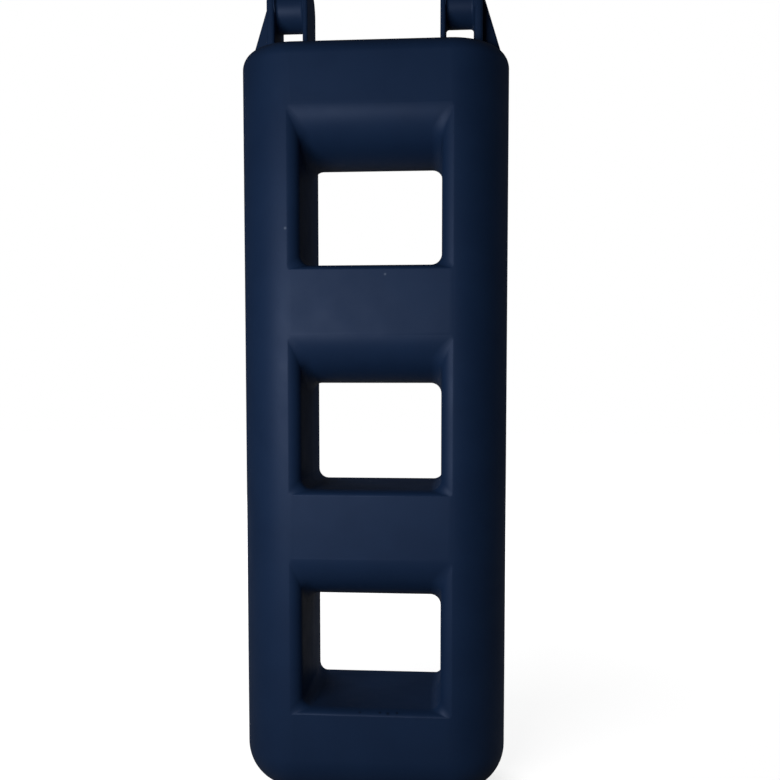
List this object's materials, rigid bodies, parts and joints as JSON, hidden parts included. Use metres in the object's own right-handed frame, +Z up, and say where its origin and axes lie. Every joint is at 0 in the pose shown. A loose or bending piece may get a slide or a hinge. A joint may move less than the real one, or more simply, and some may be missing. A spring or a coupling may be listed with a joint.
{
  "type": "boarding step fender",
  "caption": "Tall moulded plastic boat fender with step openings through it and rope ears with round bars on top, hung over a boat's side as a bumper and boarding ladder.",
  "frame": {"origin": "middle of the footprint, at the level of the base", "axes": "+Z up along the height, towards the rope ears; +Y through the thickness, from the front seen in the picture to the hull side; +X across the width, to the viewer's right"},
  "size_m": [0.253, 0.12, 0.7736],
  "materials": {
    "navy_plastic": "satin"
  },
  "bodies": {
    "root": {"fender_body": "navy_plastic"}
  },
  "joints": []
}
